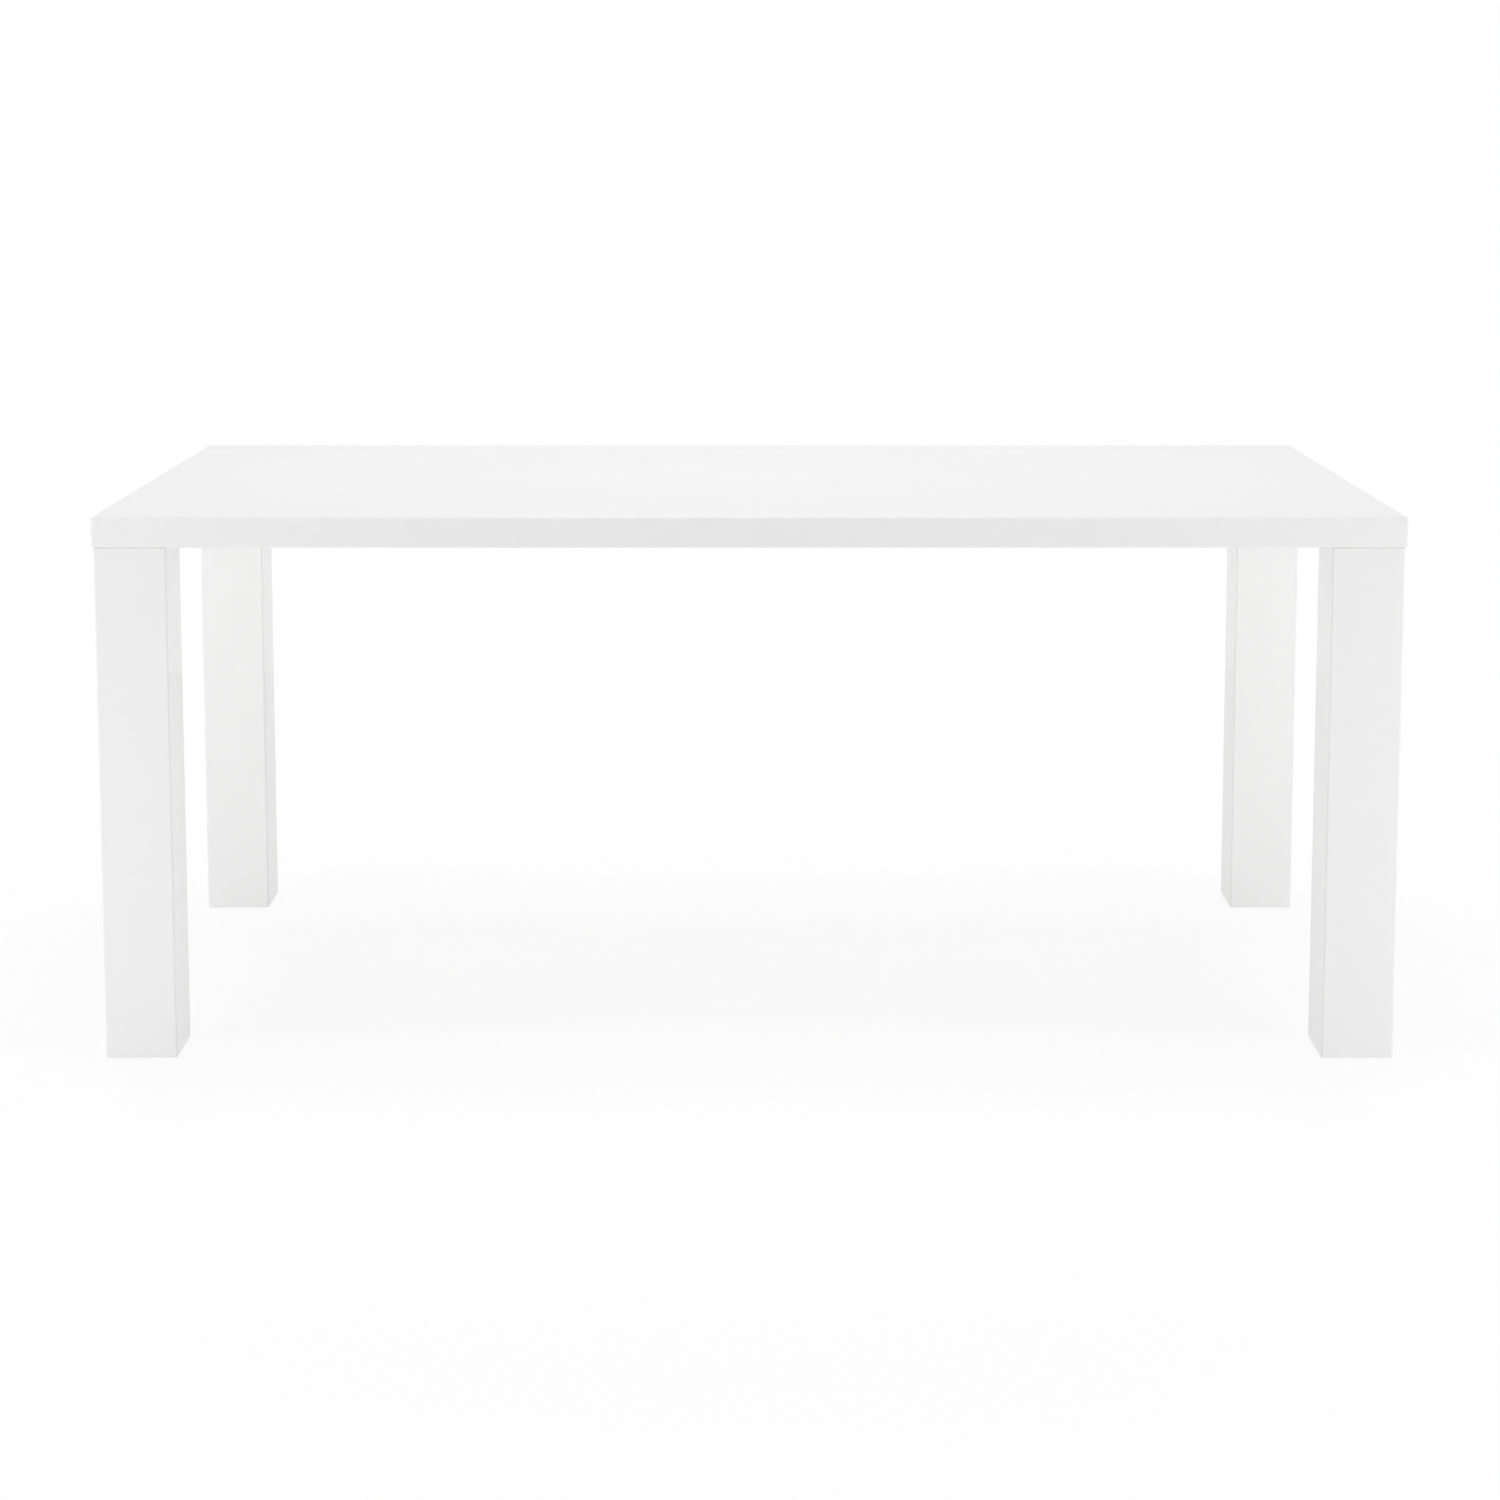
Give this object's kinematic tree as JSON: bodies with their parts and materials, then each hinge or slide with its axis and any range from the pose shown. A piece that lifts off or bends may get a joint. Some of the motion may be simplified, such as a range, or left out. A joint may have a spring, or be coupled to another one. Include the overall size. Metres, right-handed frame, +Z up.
{
  "type": "dining table",
  "caption": "Rectangular dining table in white gloss lacquer: a thick plain top on square hollow legs flush at its corners, bolted on through hidden plates, with levelling glides.",
  "frame": {"origin": "on the floor, under the middle of the top", "axes": "+X along the table's length, +Y towards its back, +Z up"},
  "size_m": [1.8, 0.9, 0.762],
  "materials": {
    "gloss_lacquer": "high-gloss white lacquer over fibreboard",
    "underside_lacquer": "satin white lacquer over thin fibreboard",
    "core_wood": "planed softwood, unfinished",
    "plate_steel": "rolled steel plate, zinc plated",
    "zinc_steel": "zinc-plated steel fixings",
    "glide_nylon": "natural white nylon"
  },
  "bodies": {
    "table": {"back_edge": "gloss_lacquer", "bottom_panel": "underside_lacquer", "corner_block_back_left": "core_wood", "corner_block_back_right": "core_wood", "corner_block_front_left": "core_wood", "corner_block_front_right": "core_wood", "cross_rail_1": "core_wood", "cross_rail_2": "core_wood", "cross_rail_3": "core_wood", "cross_rail_4": "core_wood", "cross_rail_5": "core_wood", "foot_inserts": "zinc_steel", "front_edge": "gloss_lacquer", "left_edge": "gloss_lacquer", "leg_back_left_back_board": "gloss_lacquer", "leg_back_left_front_board": "gloss_lacquer", "leg_back_left_left_board": "gloss_lacquer", "leg_back_left_right_board": "gloss_lacquer", "leg_back_right_back_board": "gloss_lacquer", "leg_back_right_front_board": "gloss_lacquer", "leg_back_right_left_board": "gloss_lacquer", "leg_back_right_right_board": "gloss_lacquer", "leg_bolt_inserts": "zinc_steel", "leg_bolt_spring_washers": "zinc_steel", "leg_bolt_washers": "zinc_steel", "leg_bolts": "zinc_steel", "leg_foot_plug_back_left": "core_wood", "leg_foot_plug_back_right": "core_wood", "leg_foot_plug_front_left": "core_wood", "leg_foot_plug_front_right": "core_wood", "leg_front_left_back_board": "gloss_lacquer", "leg_front_left_front_board": "gloss_lacquer", "leg_front_left_left_board": "gloss_lacquer", "leg_front_left_right_board": "gloss_lacquer", "leg_front_right_back_board": "gloss_lacquer", "leg_front_right_front_board": "gloss_lacquer", "leg_front_right_left_board": "gloss_lacquer", "leg_front_right_right_board": "gloss_lacquer", "leg_plate_back_left": "plate_steel", "leg_plate_back_right": "plate_steel", "leg_plate_front_left": "plate_steel", "leg_plate_front_right": "plate_steel", "leg_top_plug_back_left": "core_wood", "leg_top_plug_back_right": "core_wood", "leg_top_plug_front_left": "core_wood", "leg_top_plug_front_right": "core_wood", "long_rail_1": "core_wood", "long_rail_2": "core_wood", "plate_screws": "zinc_steel", "right_edge": "gloss_lacquer", "top_board": "gloss_lacquer"},
    "pad_front_left": {"glide_pad_front_left": "glide_nylon"},
    "stem_front_left": {"glide_stem_front_left": "zinc_steel"},
    "pad_front_right": {"glide_pad_front_right": "glide_nylon"},
    "stem_front_right": {"glide_stem_front_right": "zinc_steel"},
    "pad_back_left": {"glide_pad_back_left": "glide_nylon"},
    "stem_back_left": {"glide_stem_back_left": "zinc_steel"},
    "pad_back_right": {"glide_pad_back_right": "glide_nylon"},
    "stem_back_right": {"glide_stem_back_right": "zinc_steel"}
  },
  "joints": [
    {"name": "pad_slide_front_left", "type": "slide", "parent": "table", "child": "pad_front_left", "axis": [0, 0, -1], "range_m": [0, 0.01]},
    {"name": "stem_turn_front_left", "type": "hinge", "parent": "pad_front_left", "child": "stem_front_left", "pos_m": [-0.8475, -0.3975, 0.005], "axis": [0, 0, -1], "range_deg": [0, 2880]},
    {"name": "pad_slide_front_right", "type": "slide", "parent": "table", "child": "pad_front_right", "axis": [0, 0, -1], "range_m": [0, 0.01]},
    {"name": "stem_turn_front_right", "type": "hinge", "parent": "pad_front_right", "child": "stem_front_right", "pos_m": [0.8475, -0.3975, 0.005], "axis": [0, 0, -1], "range_deg": [0, 2880]},
    {"name": "pad_slide_back_left", "type": "slide", "parent": "table", "child": "pad_back_left", "axis": [0, 0, -1], "range_m": [0, 0.01]},
    {"name": "stem_turn_back_left", "type": "hinge", "parent": "pad_back_left", "child": "stem_back_left", "pos_m": [-0.8475, 0.3975, 0.005], "axis": [0, 0, -1], "range_deg": [0, 2880]},
    {"name": "pad_slide_back_right", "type": "slide", "parent": "table", "child": "pad_back_right", "axis": [0, 0, -1], "range_m": [0, 0.01]},
    {"name": "stem_turn_back_right", "type": "hinge", "parent": "pad_back_right", "child": "stem_back_right", "pos_m": [0.8475, 0.3975, 0.005], "axis": [0, 0, -1], "range_deg": [0, 2880]}
  ],
  "couplings": [
    {"joint": "pad_slide_front_left", "follows": "stem_turn_front_left", "m_per_rad": 0.00019894},
    {"joint": "pad_slide_front_right", "follows": "stem_turn_front_right", "m_per_rad": 0.00019894},
    {"joint": "pad_slide_back_left", "follows": "stem_turn_back_left", "m_per_rad": 0.00019894},
    {"joint": "pad_slide_back_right", "follows": "stem_turn_back_right", "m_per_rad": 0.00019894}
  ]
}
